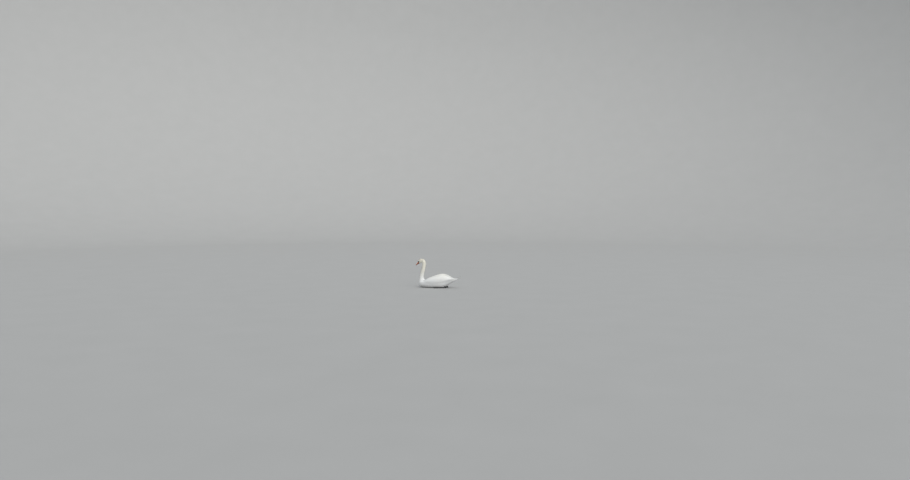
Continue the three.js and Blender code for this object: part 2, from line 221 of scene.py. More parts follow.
class Shader:
    """A material being wired. node() adds one node, and links or sets its inputs by name or number."""

    def __init__(self, name):
        self.material = bpy.data.materials.new(name)
        self.material.use_nodes = True
        self.tree = self.material.node_tree
        self.surface = self.tree.nodes["Principled BSDF"]

    def feed(self, made, key, value):
        if isinstance(value, bpy.types.NodeSocket):
            self.tree.links.new(value, made.inputs[key])
        else:
            made.inputs[key].default_value = value

    def node(self, kind, settings, inputs):
        made = self.tree.nodes.new(kind)
        for key, value in settings.items():
            setattr(made, key, value)
        for key, value in inputs.items():
            self.feed(made, key, value)
        return made

    def math(self, operation, a, b=0.0):
        return self.node("ShaderNodeMath", {"operation": operation}, {0: a, 1: b}).outputs[0]

    def ramp(self, value, low, high, out_low=0.0, out_high=1.0):
        inputs = {0: value, 1: low, 2: high, 3: out_low, 4: out_high}
        return self.node("ShaderNodeMapRange", {"interpolation_type": "SMOOTHSTEP"}, inputs).outputs[0]

    def mix(self, share, a, b):
        return self.node("ShaderNodeMix", {"data_type": "RGBA"}, {0: share, 6: a, 7: b}).outputs[2]

    def noise(self, vector, scale, detail=3.0):
        inputs = {"Vector": vector, "Scale": scale, "Detail": detail}
        return self.node("ShaderNodeTexNoise", {}, inputs).outputs["Fac"]

    def split(self, vector):
        return self.node("ShaderNodeSeparateXYZ", {}, {"Vector": vector}).outputs

    def object_space(self):
        return self.node("ShaderNodeTexCoord", {}, {}).outputs["Object"]

    def attribute(self, name):
        return self.node("ShaderNodeAttribute", {"attribute_name": name}, {}).outputs["Fac"]

    def bump(self, height, distance, strength=1.0):
        inputs = {"Strength": strength, "Distance": distance, "Height": height}
        self.feed(self.surface, "Normal", self.node("ShaderNodeBump", {}, inputs).outputs[0])

    def set(self, **values):
        for key, value in values.items():
            self.feed(self.surface, key.replace("_", " "), value)


def plumage_colour(shader):
    """White all over, cream up the neck and a little buff on the crown. Skin and coat share it."""
    where = shader.object_space()
    above_floor = shader.split(where)["Z"]
    patches = shader.noise(where, 14.0)
    height = shader.math("ADD", above_floor, shader.math("MULTIPLY", patches, 0.05))
    warm = shader.ramp(height, 0.13, 0.46, 0.0, 0.85)
    tone = shader.mix(warm, WHITE, CREAM)
    crown = shader.ramp(height, 0.535, 0.60, 0.0, 0.35)
    tone = shader.mix(crown, tone, BUFF)
    dull = shader.ramp(shader.noise(where, 5.0), 0.45, 0.75, 0.0, 0.5)
    return shader.mix(dull, tone, shader.mix(warm, SHADED_WHITE, CREAM))


def feather_material(name, barb_mm, barb_slope, depth_mm, shaft_mm):
    """Plumage with fine barbs that slant out from the shaft, laid out by the Feather map."""
    shader = Shader(name)
    where = shader.split(shader.node("ShaderNodeUVMap", {"uv_map": "Feather"}, {}).outputs[0])
    across = shader.math("ABSOLUTE", where["X"])
    phase = shader.math("SUBTRACT", where["Y"], shader.math("MULTIPLY", across, barb_slope))
    turns = shader.math("MULTIPLY", phase, FEATHER_MAP_MM / barb_mm * 2 * math.pi)
    barbs = shader.math("MULTIPLY", shader.math("SINE", turns), 0.5)
    shaft = shader.ramp(across, 0.0, shaft_mm / FEATHER_MAP_MM, 1.0, 0.0)
    shader.bump(shader.math("ADD", barbs, shader.math("MULTIPLY", shaft, 2.0)), depth_mm * MM, 0.6)
    # Painted shade: each vane greys towards its root, where the vanes over it cover it. How much differs at
    # random from vane to vane.
    root = shader.ramp(shader.attribute("shade"), -0.2, 0.8, 0.12, 0.0)
    shader.set(Base_Color=shader.mix(root, plumage_colour(shader), ROOT_SHADE_GREY), Roughness=0.62,
               Sheen_Weight=0.12, Sheen_Roughness=0.5, Specular_IOR_Level=0.3)
    return shader.material


def skin_material():
    shader = Shader("Swan_skin")
    shader.set(Base_Color=plumage_colour(shader), Roughness=0.8)
    shader.bump(shader.noise(shader.object_space(), 900.0), 0.0006)
    return shader.material


def black_skin_material(name, base, roughness, cells, depth_mm):
    """Bare black skin, pebbled, in patches up to about twice as light as its base."""
    shader = Shader(name)
    where = shader.object_space()
    edges = {"feature": "DISTANCE_TO_EDGE"}
    cell = shader.node("ShaderNodeTexVoronoi", edges, {"Vector": where, "Scale": cells})
    pebbles = shader.ramp(cell.outputs["Distance"], 0.0, 0.25)
    tint = shader.ramp(shader.noise(where, 120.0), 0.35, 0.7)
    lighter = colour(*(channel * 2.1 for channel in base[:3]))
    shader.set(Base_Color=shader.mix(tint, base, lighter),
               Roughness=shader.ramp(tint, 0.0, 1.0, roughness - 0.06, roughness + 0.1))
    shader.bump(pebbles, depth_mm * MM)
    return shader.material


def bill_material():
    """Reddish orange, and black where the mesh's "black" attribute says: edges, root, nostrils and nail."""
    shader = Shader("Swan_bill")
    where = shader.object_space()
    black = shader.attribute("black")
    ragged = shader.math("ADD", black, shader.math("MULTIPLY", shader.noise(where, 600.0), 0.24))
    share = shader.ramp(ragged, 0.50, 0.74)
    mottle = shader.ramp(shader.noise(where, 160.0, 5.0), 0.35, 0.7)
    orange = shader.mix(mottle, DEEP_ORANGE, LIGHT_ORANGE)
    shader.set(Base_Color=shader.mix(share, orange, BILL_BLACK),
               Roughness=shader.ramp(mottle, 0.0, 1.0, 0.34, 0.46))
    fine, coarse = shader.noise(where, 1400.0), shader.noise(where, 300.0)
    shader.bump(shader.math("ADD", fine, shader.math("MULTIPLY", coarse, 2.0)), 0.00025, 0.5)
    return shader.material


def eye_material():
    """Dark brown iris round a black pupil; the mesh's "away" attribute is the angle from the middle."""
    shader = Shader("Swan_eye")
    away = shader.attribute("away")
    iris = shader.mix(shader.noise(shader.object_space(), 1500.0), DARK_IRIS, LIGHT_IRIS)
    shader.set(Base_Color=shader.mix(shader.ramp(away, 0.46, 0.54), PUPIL_BLACK, iris), Roughness=0.06,
               Specular_IOR_Level=0.4)
    return shader.material


def floor_material():
    shader = Shader("Studio_floor")
    grain = shader.noise(shader.object_space(), 1.5)
    tone = shader.mix(grain, FLOOR_GREY, LIGHT_FLOOR_GREY)
    shader.set(Base_Color=tone, Roughness=0.9, Specular_IOR_Level=0.1)
    return shader.material


BODY_VANE = feather_material("Body_feathers", barb_mm=0.8, barb_slope=1.3, depth_mm=0.10, shaft_mm=0.5)
NECK_VANE = feather_material("Neck_feathers", barb_mm=0.6, barb_slope=2.2, depth_mm=0.07, shaft_mm=0.2)
FLIGHT_VANE = feather_material("Flight_feathers", barb_mm=0.9, barb_slope=1.4, depth_mm=0.10, shaft_mm=0.9)
SKIN = skin_material()
BILL = bill_material()
KNOB_SKIN = black_skin_material("Knob_skin", KNOB_BLACK, roughness=0.42, cells=650.0, depth_mm=0.15)
FOOT_SKIN = black_skin_material("Foot_skin", FOOT_BLACK, roughness=0.50, cells=330.0, depth_mm=0.35)
EYE = eye_material()


# ---- The bird's outline as one smooth surface ----


def vertex_normals(points, triangles):
    """The normal at each point, and each triangle's area."""
    a, b, c = (points[triangles[:, i]] for i in range(3))
    flat = np.cross(b - a, c - a)
    normals = np.zeros_like(points)
    for i in range(3):
        np.add.at(normals, triangles[:, i], flat)
    return unit(normals), np.linalg.norm(flat, axis=1) / 2


class Surface:
    """A triangle mesh that answers where its nearest point is, and what a ray meets."""

    def __init__(self, points, triangles):
        self.points, self.triangles = points, triangles
        self.normals, self.areas = vertex_normals(points, triangles)
        self.tree = BVHTree.FromPolygons(points.tolist(), triangles.tolist())

    def smooth_normals(self, places, found):
        """Vertex normals blended at each place on the triangle it was found in."""
        corners = self.triangles[found]
        a, b, c = (self.points[corners[:, i]] for i in range(3))
        ab, ac, ap = b - a, c - a, places - a
        d00, d01, d11 = (ab * ab).sum(1), (ab * ac).sum(1), (ac * ac).sum(1)
        d20, d21 = (ap * ab).sum(1), (ap * ac).sum(1)
        scale = np.maximum(d00 * d11 - d01 * d01, 1e-20)
        v = np.clip((d11 * d20 - d01 * d21) / scale, 0, 1)
        w = np.clip((d00 * d21 - d01 * d20) / scale, 0, 1)
        u = np.clip(1 - v - w, 0, 1)
        blend = self.normals[corners]
        return unit(blend[:, 0] * u[:, None] + blend[:, 1] * v[:, None] + blend[:, 2] * w[:, None])

    def answers(self, hits):
        """Places and smooth normals of what the tree found."""
        spots = np.array([hit[0] for hit in hits])
        return spots, self.smooth_normals(spots, np.array([hit[2] for hit in hits]))

    def nearest(self, places):
        return self.answers([self.tree.find_nearest(Vector(p)) for p in places])

    def cast(self, origins, directions):
        """Where rays first meet the surface; a ray that misses takes its nearest point."""
        hits = []
        for origin, direction in zip(origins, directions):
            hit = self.tree.ray_cast(Vector(origin), Vector(direction))
            hits.append(hit if hit[0] is not None else self.tree.find_nearest(Vector(origin)))
        return self.answers(hits)

    def thickness(self):
        """How far it is from each point straight through the body to its other side."""
        through = []
        for point, normal in zip(self.points, self.normals):
            hit = self.tree.ray_cast(Vector(point - normal * 2e-4), Vector(-normal))
            through.append(hit[3] if hit[0] is not None else 0.0)
        return np.array(through)


def neighbour_means(points, edges):
    """The mean of each point's neighbours along the edges."""
    ends, others = edges.T.ravel(), edges[:, ::-1].T.ravel()
    count = np.maximum(np.bincount(ends, minlength=len(points)), 1)
    sums = [np.bincount(ends, points[others, axis], minlength=len(points)) for axis in range(3)]
    return np.stack(sums, 1) / count[:, None]


def relaxed(points, edges, rounds):
    """Smooths points along edges; every second step pushes back out, so that nothing shrinks."""
    for step in range(2 * rounds):
        points = points + (-0.53 if step % 2 else 0.5) * (neighbour_means(points, edges) - points)
    return points


def filled(points, triangles, edges, share, rounds):
    """Raises hollows towards their neighbours' mean, by each point's share, and leaves bumps as they are."""
    for step in range(rounds):
        if step % 10 == 0:
            normals, _ = vertex_normals(points, triangles)
        shift = neighbour_means(points, edges) - points
        outward = (shift * normals).sum(1)
        points = points + shift * (0.5 * share * (outward > 0))[:, None]
    return points


def read(items, key, size, kind=np.int32):
    """One row of numbers for each item of a mesh."""
    values = np.empty(len(items) * size, kind)
    items.foreach_get(key, values)
    return values.reshape(-1, size)


def remeshed(names, voxel, rounds):
    """The named CAD nodes as one closed mesh: points, triangles, edges."""
    nodes = [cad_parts[name].data for name in names]
    parts = [([v.co for v in mesh.vertices], [p.vertices for p in mesh.polygons]) for mesh in nodes]
    thing = mesh_object("outline", *merged(parts), SKIN)
    modifier = thing.modifiers.new("voxels", "REMESH")
    modifier.mode = "VOXEL"
    modifier.voxel_size = voxel
    whole = bpy.data.meshes.new_from_object(thing.evaluated_get(bpy.context.evaluated_depsgraph_get()))
    bpy.data.meshes.remove(thing.data)
    whole.calc_loop_triangles()
    points, edges = read(whole.vertices, "co", 3, float), read(whole.edges, "vertices", 2)
    triangles = read(whole.loop_triangles, "vertices", 3)
    bpy.data.meshes.remove(whole)
    return relaxed(points, edges, rounds), triangles, edges


# ---- The spine: places every point by its distance from the bill and its angle round the body ----

SPINE = [(-6, 489), (20, 511), (46, 525), (68, 526), (86, 514), (98, 493), (102, 464), (99, 430), (92, 390),
         (78, 331), (59, 253), (52, 200), (56, 158), (74, 122), (112, 102), (170, 100), (250, 106),
         (330, 113), (420, 123), (510, 134), (600, 147), (700, 164), (765, 184), (805, 201), (858, 221)]
CHUNK = 20000  # points handled at a time
spine_points = place(stacked(0.0, *catmull(SPINE, 12).T))
spine_tangents = unit(np.gradient(spine_points, axis=0))
spine_lengths = travelled(spine_points) / MM


def along_spine(points):
    """Distance along the spine in millimetres, the spine's direction there, and the angle round it."""
    index = np.empty(len(points), int)
    for start in range(0, len(points), CHUNK):
        some = points[start : start + CHUNK, None]
        gaps = (some[..., 1] - spine_points[:, 1]) ** 2 + (some[..., 2] - spine_points[:, 2]) ** 2
        index[start : start + CHUNK] = gaps.argmin(1)
    tangent = spine_tangents[index]
    offset = points - spine_points[index]
    ahead = (offset * tangent).sum(1)
    dorsal = stacked(0.0, -tangent[:, 2], tangent[:, 1])
    angle = np.arctan2((offset * dorsal).sum(1), offset[:, 0])
    return spine_lengths[index] + ahead / MM, tangent, angle


# ---- Vanes ----

PATCH_HALF = 0.0015  # half the side of a vane's patch on the OFBake map
SHADE_SPREAD = 0.22  # how much the feathers' tones differ
LOWEST = 0.0003  # metres above the floor


def vane_rows(rows):
    """How far along a vane each of its rows lies; they stand closer towards the tip."""
    return 1 - (1 - np.linspace(0, 1, rows)) ** 1.4


def vane_profile(rows, point, root, sharp=False):
    """Half width of a vane along its length, as a share of the widest. The last part of its length, point,
    tapers to the tip, and root is the share at the root. A sharp vane ends in a point, any other is round."""
    t = vane_rows(rows)
    rise = root + (1 - root) * smooth_step(t, 0.0, 0.4)
    tip = 1 - np.clip((t - (1 - point)) / point, 0, 1) ** (1.5 if sharp else 2.2)
    return np.maximum(rise * (tip if sharp else np.sqrt(tip)), 0.05)


class Coat:
    """Vanes gathered into pieces. Every vane is a small grid with its own patch of the OFBake map."""

    def __init__(self):
        self.pieces = {}

    def add(self, piece, line, normals, height, half, roots, columns, fringe, cup=0.0, roll=0.0, skew=0.0,
            draped=True):
        """Adds vanes along lines on the outline: line and normals are [vane, row, 3], and height above it and
        half width are metres, [vane, row]. roots is each vane's place on the OFBake map; fringe makes the tip
        ragged; cup is the drop of the edges in 1/m; roll raises one edge over the other; skew puts the shaft
        off the middle; a draped vane follows the outline from edge to edge, any other is flat across."""
        count, rows = half.shape
        along = unit(np.gradient(line, axis=1))
        side = unit(np.cross(normals, along))
        step = np.linspace(-1, 1, columns)
        share = vane_rows(rows)[None, :, None]
        x = half[:, :, None] * (step[None, None, :] + skew * 0.35)
        rise = height[..., None] + roll * x - cup * x**2
        places = line[:, :, None] + side[:, :, None] * x[..., None]
        ups = normals[:, :, None]
        if draped:
            shape = places.shape
            places, ups = (found.reshape(shape) for found in outline.nearest(places.reshape(-1, 3)))
        places = places + ups * rise[..., None]
        length = np.linalg.norm(line[:, -1] - line[:, 0], axis=1)[:, None, None]
        ragged = rng.normal(0, 1, x.shape) * share**3
        places += along[:, :, None] * (ragged * fringe * length)[..., None]
        feather = stacked(x, travelled(line)[:, :, None]) * (1 / (FEATHER_MAP_MM * MM))
        patch = stacked(step * PATCH_HALF, np.linspace(-PATCH_HALF, PATCH_HALF, rows)[None, :, None])
        patch = patch + roots[:, None, None, :]
        # A random tone for each vane, plus how far along it each point lies. The feather material turns the
        # second into painted shade near the root.
        shade = np.broadcast_to(rng.normal(0, 1, (count, 1, 1)) * SHADE_SPREAD + share, x.shape)
        first = (np.arange(count) * rows * columns)[:, None, None]
        faces = grid_faces(rows, columns)[None] + first
        self.pieces.setdefault(piece, []).append(
            (places.reshape(-1, 3), faces.reshape(-1, 4), feather.reshape(-1, 2), patch.reshape(-1, 2),
             shade.ravel()))

    def build(self, piece, material):
        """One mesh object of a piece's vanes, with its Feather and OFBake maps."""
        points, faces, feather, patch, shade = zip(*self.pieces[piece])
        starts = np.cumsum([0, *map(len, points)])
        points = np.vstack(points)
        points[:, 2] = np.maximum(points[:, 2], LOWEST)
        faces = np.vstack([quads + start for quads, start in zip(faces, starts)])
        thing = make_object(piece, points, faces.tolist(), material)
        for name, values in (("Feather", np.vstack(feather)), ("OFBake", np.vstack(patch))):
            layer = thing.data.uv_layers.new(name=name)
            layer.uv.foreach_set("vector", values[faces.ravel()].astype(np.float32).ravel())
        point_values(thing, "shade", np.concatenate(shade))
        thing.data.uv_layers.active = thing.data.uv_layers["Feather"]
        thing.data.uv_layers["Feather"].active_render = True


def root_places(points, low, high):
    """Each root's place on the OFBake map: round the body across, and from low to high on the spine up."""
    distance, _, angle = along_spine(points)
    around = np.mod(angle + math.pi / 2, 2 * math.pi) / (2 * math.pi)
    return np.clip(stacked(around, (distance - low) / (high - low)), 0.0, 1.0) * 0.98 + 0.01


# ---- Face: where it has no feathers ----

EYE_PLACE = (113.0, 17.0)
LORE_LOW = curve([(82, -13), (86, -7), (91, 1), (97, 7.5), (103, 12), (112, 14)])
LORE_HIGH = curve([(82, 26), (90, 24.5), (98, 22.5), (104, 21), (112, 20)])
LORE_END = 112
BILL_JOINT = 84.5
KNOB_PLACE = (83.0, 20.0)
KNOB_RADII = (9.5, 14.0, 12.5)
KNOB_BED = (12, 15.5, 14)  # radii of the bare skin round the knob


def bare(points):
    """Where the face has no feathers: lores, knob and the joint with the bill."""
    x, back, up = head_coordinates(points)
    lore = (back < LORE_END) & (up > LORE_LOW(back)) & (up < LORE_HIGH(back)) & (np.abs(x) > 6)
    from_knob = (x, back - KNOB_PLACE[0], up - KNOB_PLACE[1])
    on_knob = sum(gap**2 / radius**2 for gap, radius in zip(from_knob, KNOB_BED)) < 1
    knob = (back < 99) & (up > 6) & on_knob
    return (back > 40) & (back < 135) & (np.abs(up) < 45) & (lore | knob | (back < BILL_JOINT))


def from_eye(points):
    """Distance from the nearer eye in millimetres, seen from the side; far more on the head's middle line."""
    x, back, up = head_coordinates(points)
    return np.hypot(back - EYE_PLACE[0], up - EYE_PLACE[1]) + 100 * (np.abs(x) < 12)


# ---- Folded wings: their upper edge, and the saddle that their feathers make over the back ----

WING_END = 762
AXIS_Z = curve([(100, 90), (400, 100), (600, 130), (700, 160), (762, 180)])
TOP_X = curve([(100, 80), (146, 80), (207, 74), (265, 66), (323, 57), (381, 49), (439, 42), (497, 37),
               (555, 33), (613, 29), (672, 23), (729, 16), (762, 11)])
TOP_Z = curve([(100, 116), (120, 134), (146, 152), (207, 189), (265, 215), (323, 237), (381, 256), (439, 270),
               (475, 272), (505, 269), (555, 257), (613, 235), (672, 203), (729, 188), (762, 188)])
SADDLE = curve([(250, 10), (380, 6), (440, 8), (560, 9), (680, 7), (762, 5)])  # its depth below the edges


def bridged(points):
    """Raises the hollow between the folded wings to a shallow saddle, as the feathers over it do."""
    x, y, z = table_xyz(points)
    inside = (np.abs(x) < TOP_X(y)) & (z > AXIS_Z(y)) & (y < WING_END)
    saddle = TOP_Z(y) - SADDLE(y) * (1 - (x / TOP_X(y)) ** 2)
    rise = np.maximum(saddle - z, 0) * smooth_step(y, 250, 330) * inside
    return points + stacked(0.0, 0.0, rise) * MM


# ---- Outline, skin and the lie of the coat ----


def hollow_share(points):
    """How much each point's hollow is filled: along the back, at the root of the neck and round the eyes."""
    _, y, z = table_xyz(points)
    back = smooth_step(y, 190, 270) * (1 - 0.8 * smooth_step(y, 715, 765))
    neck_root = smooth_step(z, 40, 80) * (1 - smooth_step(z, 170, 230))
    neck_root = 0.9 * neck_root * (1 - smooth_step(y, 30, 60))
    socket = 1 - smooth_step(from_eye(points), 13, 19)
    return np.maximum.reduce([back, neck_root, socket])


outline_points, outline_triangles, outline_edges = remeshed(FLESH, voxel=0.004, rounds=5)
hollows = hollow_share(outline_points)
outline_points = relaxed(bridged(outline_points), outline_edges, 5)
outline_points = filled(outline_points, outline_triangles, outline_edges, hollows, rounds=70)
outline = Surface(outline_points, outline_triangles)

# The skin lies under the outline by the depth of the coat, or of the bare skin of the face.
COAT_DEPTH = curve([(0, 0.6), (90, 0.8), (150, 1.1), (440, 1.8), (560, 3.6), (700, 5.5), (1150, 5.5),
                    (1240, 4.0)])
BARE_DEPTH = 2.2
DEEPEST_SHARE = 0.36  # of the body's thickness there
skin_depth = np.where(bare(outline.points), BARE_DEPTH, COAT_DEPTH(along_spine(outline.points)[0]))
skin_depth = np.minimum(skin_depth * MM, DEEPEST_SHARE * outline.thickness())
skin_points = relaxed(outline.points - outline.normals * skin_depth[:, None], outline_edges, 2)
skin = make_object("skin", skin_points, outline_triangles.tolist(), SKIN)
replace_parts(skin, *FLESH)


def lie(points, normals):
    """The way the coat lies: away from the bill along the spine, and on the back along the wings' edges."""
    _, tangent, _ = along_spine(points)
    x, y, _ = table_xyz(points)
    narrowing = (TOP_X(y + 20) - TOP_X(y - 20)) / 40 * np.clip(x / TOP_X(y), -1.3, 1.3)
    on_back = smooth_step(normals[:, 2], 0.2, 0.7) * smooth_step(y, 150, 220) * (1 - smooth_step(y, 700, 750))
    tangent = tangent + stacked(narrowing * on_back, 0.0, 0.0)
    return unit(tangent - normals * (tangent * normals).sum(1, keepdims=True))


def turned(vectors, normals, angles):
    """Vectors turned about their normals."""
    cos, sin = np.cos(angles)[:, None], np.sin(angles)[:, None]
    return vectors * cos + np.cross(normals, vectors) * sin


def trace(roots, lengths, rows, angles, depth, lift):
    """Vanes that leave the skin at their roots and settle on the outline: line, normals and height."""
    found = [outline.nearest(roots)]
    for step in np.diff(vane_rows(rows)):
        spots, normals = found[-1]
        heading = turned(lie(spots, normals), normals, angles)
        found.append(outline.nearest(spots + heading * (lengths * step)[:, None]))
    line, ups = (np.stack(each, 1) for each in zip(*found))
    share = vane_rows(rows)[None, :]
    height = -depth[:, None] * (1 - share) ** 1.5 + lift[:, None] * share**1.5
    return line, ups, height


def ripple(points, wavelength, phase):
    """A smooth random field over points, about -1 to 1, whose bumps are a wavelength apart in millimetres."""
    waves = np.random.default_rng(phase)
    total = np.zeros(len(points))
    for _ in range(8):
        direction = unit(waves.normal(0, 1, 3))
        turns = points @ direction * (2 * math.pi / (wavelength * MM))
        total += np.sin(turns + waves.uniform(0, 2 * math.pi))
    return total / 2


# ---- Wings: rows of flight feathers and coverts ----

WING_SPAN = (600, 1300)  # along the spine
WING_REACH = 0.4  # metres from the wing's axis, outside the bird
ROOT_SINK = 1.8  # how much deeper a wing feather's root lies than its tip


def wing_spots(side, y, up):
    """Places and normals on the folded wing's outside: up is 0 at its lower edge and 1 at its upper edge."""
    axis = AXIS_Z(y)
    angle = np.arctan2(TOP_Z(y) - axis, TOP_X(y)) * up
    out = stacked(side * np.cos(angle), 0.0, np.sin(angle))
    return outline.cast(place(stacked(0.0, y, axis)) + out * WING_REACH, -out)


def height_on_wing(points):
    """0 at the wing's lower edge and 1 at its upper edge, and the table y, for frame points."""
    x, y, z = table_xyz(points)
    axis = AXIS_Z(y)
    return np.arctan2(z - axis, np.abs(x)) / np.arctan2(TOP_Z(y) - axis, TOP_X(y)), y


# Each row: how many, then root y, root height, tip y, tip height and half width, each from the lowest
# feather to the highest, then the taper of the tip, how deep the feathers lie, how far their tips lift and
# how steeply each overlaps the next. The lesser coverts have three rows.
WING_ROWS = {
    "primaries": (9, (540, 520), (0.04, 0.30), (768, 712), (0.42, 0.74), (9, 10), 0.30, 2.6, 0.0, 0.10),
    "secondaries": (13, (400, 450), (0.04, 0.70), (600, 728), (0.16, 0.90), (14, 15), 0.13, 1.9, -0.3, 0.065),
    "tertials": (6, (420, 480), (0.66, 0.93), (615, 716), (0.80, 0.985), (16, 18), 0.24, 1.3, -0.7, 0.06),
    "greater": (15, (270, 350), (0.03, 0.84), (425, 545), (0.07, 0.90), (13, 15), 0.12, 1.3, -0.5, 0.06),
    "median": (15, (205, 265), (0.04, 0.85), (325, 430), (0.07, 0.88), (12.5, 13.5), 0.16, 0.9, -0.3, 0.06),
    "lesser_3": (15, (160, 200), (0.05, 0.86), (255, 345), (0.08, 0.88), (11.5, 12.5), 0.20, 0.6, -0.2, 0.06),
    "lesser_2": (15, (130, 160), (0.06, 0.88), (205, 280), (0.09, 0.90), (10.5, 11), 0.24, 0.4, -0.1, 0.06),
    "lesser_1": (14, (108, 130), (0.08, 0.90), (165, 222), (0.10, 0.92), (10, 10.5), 0.28, 0.2, 0.0, 0.06),
}
SCAPULARS = (
    (13, (150, 420), (0.78, 0.84), (245, 560), (0.83, 0.90), (12, 16), 0.30, 0.3, 0.0, 0.06),
    (13, (125, 450), (0.92, 0.94), (220, 600), (0.95, 0.97), (12, 16), 0.30, 0.1, 0.0, 0.06),
)


def between(ends, share):
    return ends[0] + (ends[1] - ends[0]) * share


def wing_row(coat, piece, side, row):
    count, root_y, root_up, tip_y, tip_up, half, point, deep, lift, roll = row
    rows = 15
    order = np.linspace(0, 1, count)[:, None]
    wobble = rng.normal(0, 1, (5, count, 1))
    share = vane_rows(rows)
    y = between((between(root_y, order) + wobble[0] * 3, between(tip_y, order) + wobble[1] * 5), share)
    ends = between(root_up, order) + wobble[2] * 0.004, between(tip_up, order) + wobble[3] * 0.008
    bow = 0.02 * 4 * share * (1 - share)
    up = between(ends, share**1.4) - bow
    spots, normals = (found.reshape(count, rows, 3) for found in wing_spots(side, y.ravel(), up.ravel()))
    height = -deep - ROOT_SINK * (1 - share) ** 1.6 + (lift + 0.06 * wobble[4]) * share**3
    widths = between(half, order) * MM * vane_profile(rows, point, 0.35)
    coat.add(piece, spots, normals, height * MM, widths, root_places(spots[:, 0], *WING_SPAN), columns=9,
             fringe=0.0012, cup=0.5, roll=-roll * side, skew=-0.25 * side)


# ---- Contour feathers ----

SPACING = curve([(0, 1.1), (30, 1.2), (90, 1.5), (150, 1.8), (440, 2.4), (540, 3.5), (660, 4.5), (1130, 4.7),
                 (1210, 4.2)])
LENGTH = curve([(0, 4.0), (20, 5.5), (80, 8.5), (150, 12), (440, 17), (540, 24), (660, 30), (900, 34),
                (1130, 36), (1210, 38)])
HALF_WIDTH = curve([(0, 0.8), (30, 0.95), (90, 1.3), (150, 1.6), (440, 2.4), (540, 4.4), (660, 6.8),
                    (900, 8.0), (1210, 7.0)])
CROWDING = 3.2  # how many roots are tried for each square of the spacing
EYE_RIM = 5.6  # no roots nearer to an eye's middle
LAST_ROOTS = (785, 748)  # on the tail's underside and on its upper side, at its middle
UNDER_ROWS = -4.5  # the lift of the coat's tips under the wings' own rows
TAIL_SINK = 2.5  # how much lower they lie round the tail's root


def scatter():
    """Roots over the outline, no two closer than the spacing there, and none under the wings' own rows."""
    corners = outline.points[outline.triangles]
    centres = corners.mean(1)
    on_wing, y = height_on_wing(centres)
    hidden = (on_wing > 0.08) & (on_wing < 0.93) & (y > 190) & (y < 700)
    spacing = SPACING(along_spine(centres)[0]) * MM
    counts = rng.poisson(outline.areas / spacing**2 * CROWDING * ~hidden)
    chosen = np.repeat(np.arange(len(centres)), counts)
    share = rng.random((len(chosen), 2))
    over = share.sum(1) > 1
    share[over] = 1 - share[over]
    a, b, c = (corners[chosen, i] for i in range(3))
    points = a + (b - a) * share[:, :1] + (c - a) * share[:, 1:]
    gaps = spacing[chosen]
    tree = KDTree(len(points))
    for i, point in enumerate(points):
        tree.insert(point, i)
    tree.balance()
    gone = np.zeros(len(points), bool)
    kept = []
    for i in rng.permutation(len(points)):
        if not gone[i]:
            kept.append(i)
            for _, j, _ in tree.find_range(points[i], gaps[i]):
                gone[j] = True
    return points[kept]


def region_of(points):
    """The coat piece that each root belongs to."""
    distance, _, angle = along_spine(points)
    turn = np.degrees(angle)
    names = np.full(len(points), "coat_side_left", dtype=object)
    names[np.abs(turn) > 90] = "coat_side_right"
    names[(turn > 48) & (turn < 132)] = "coat_back"
    names[(turn < -40) & (turn > -140)] = "coat_belly"
    names[distance < 600] = "coat_breast"
    names[distance < 445] = "coat_neck_lower"
    names[distance < 248] = "coat_neck_upper"
    names[distance < 95] = "coat_head"
    names[distance > 1130] = "coat_tail_coverts"
    return names


# Each piece: its range along the spine, rows and columns of each vane, whether it is sharp, and its
# material and slot.
NECK, BODY = (NECK_VANE, "neck_plumage"), (BODY_VANE, "plumage")
REGIONS = {
    "coat_head": (0, 110, 5, 3, True, *NECK),
    "coat_neck_upper": (90, 265, 5, 3, True, *NECK),
    "coat_neck_lower": (240, 465, 5, 3, True, *NECK),
    "coat_breast": (440, 620, 6, 5, False, *BODY),
    "coat_belly": (590, 1150, 6, 5, False, *BODY),
    "coat_back": (590, 1150, 7, 5, False, *BODY),
    "coat_side_left": (590, 1150, 7, 5, False, *BODY),
    "coat_side_right": (590, 1150, 7, 5, False, *BODY),
    "coat_tail_coverts": (1125, 1360, 8, 5, False, *BODY),
}

coat = Coat()
roots = scatter()
_, root_normals = outline.nearest(roots)
end = np.where(root_normals[:, 2] < -0.3, *LAST_ROOTS) - 0.5 * np.abs(roots[:, 0]) / MM
roots = roots[~bare(roots) & (from_eye(roots) > EYE_RIM) & (roots[:, 1] / MM + MIDDLE_Y < end)]
region_names = region_of(roots)
for piece, (low, high, rows, columns, sharp, material, slot) in REGIONS.items():
    some = roots[region_names == piece]
    distance, _, _ = along_spine(some)
    vary = rng.normal(0, 1, (4, len(some)))
    lengths = LENGTH(distance) * MM * np.clip(1 + 0.15 * vary[0], 0.65, 1.4)
    lengths *= 0.3 + 0.7 * smooth_step(from_eye(some), 6.0, 17.0)
    on_wing, y = height_on_wing(some)
    under_rows = (on_wing > 0.03) & (on_wing < 0.96) & (y > 150) & (y < 740)
    depth = COAT_DEPTH(distance) * np.where(distance < 500, 0.9, 0.62) * MM
    wave = ripple(some, 22.0 + 0.05 * distance.mean(), 7)
    lift = LENGTH(distance) * (0.003 * vary[1] + 0.009 * wave)
    lift = np.where(under_rows, UNDER_ROWS, lift) - TAIL_SINK * smooth_step(y, 690, 745)
    angles = np.radians(6.0 * vary[2] + 8.0 * ripple(some, 34.0, 11))
    angles *= smooth_step(np.abs(on_wing - 1), 0.0, 0.3)
    line, normals, height = trace(some, lengths, rows, angles, depth, lift * MM)
    half = HALF_WIDTH(distance) * MM * np.clip(1 + 0.14 * vary[3], 0.7, 1.35)
    half = half[:, None] * vane_profile(rows, 0.62 if sharp else 0.42, 0.5, sharp)[None, :]
    coat.add(piece, line, normals, height, half, root_places(some, low, high), columns,
             fringe=0.02 if sharp else 0.008, cup=14.0 if sharp else 4.0, draped=not sharp)

